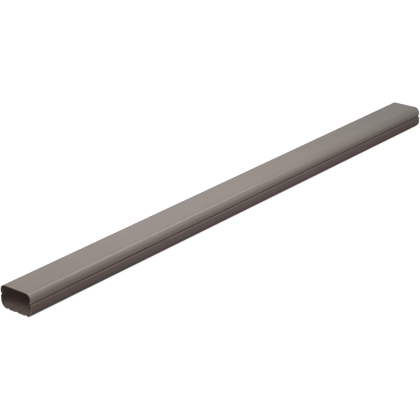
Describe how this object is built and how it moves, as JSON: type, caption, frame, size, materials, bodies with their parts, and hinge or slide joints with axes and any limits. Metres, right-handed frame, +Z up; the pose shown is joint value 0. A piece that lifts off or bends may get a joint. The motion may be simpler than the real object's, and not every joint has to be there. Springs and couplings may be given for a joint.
{
  "type": "cable trunking",
  "caption": "Length of plastic cable trunking: a ribbed base channel with rounded lower corners and a clip-on cover with rounded top corners.",
  "frame": {"origin": "the middle of the underside, halfway along the length and across the width", "axes": "+X along the length, +Y across the width, +Z up through the cover"},
  "size_m": [2, 0.129, 0.0758],
  "materials": {
    "base_plastic": "satin extruded plastic with faint lines along its length",
    "cover_plastic": "satin extruded plastic with faint lines along its length"
  },
  "bodies": {
    "base": {"base": "base_plastic"},
    "cover": {"cover": "cover_plastic"}
  },
  "joints": [
    {"name": "cover_slide", "type": "slide", "parent": "base", "child": "cover", "axis": [1, 0, 0], "range_m": [-1, 1]}
  ]
}
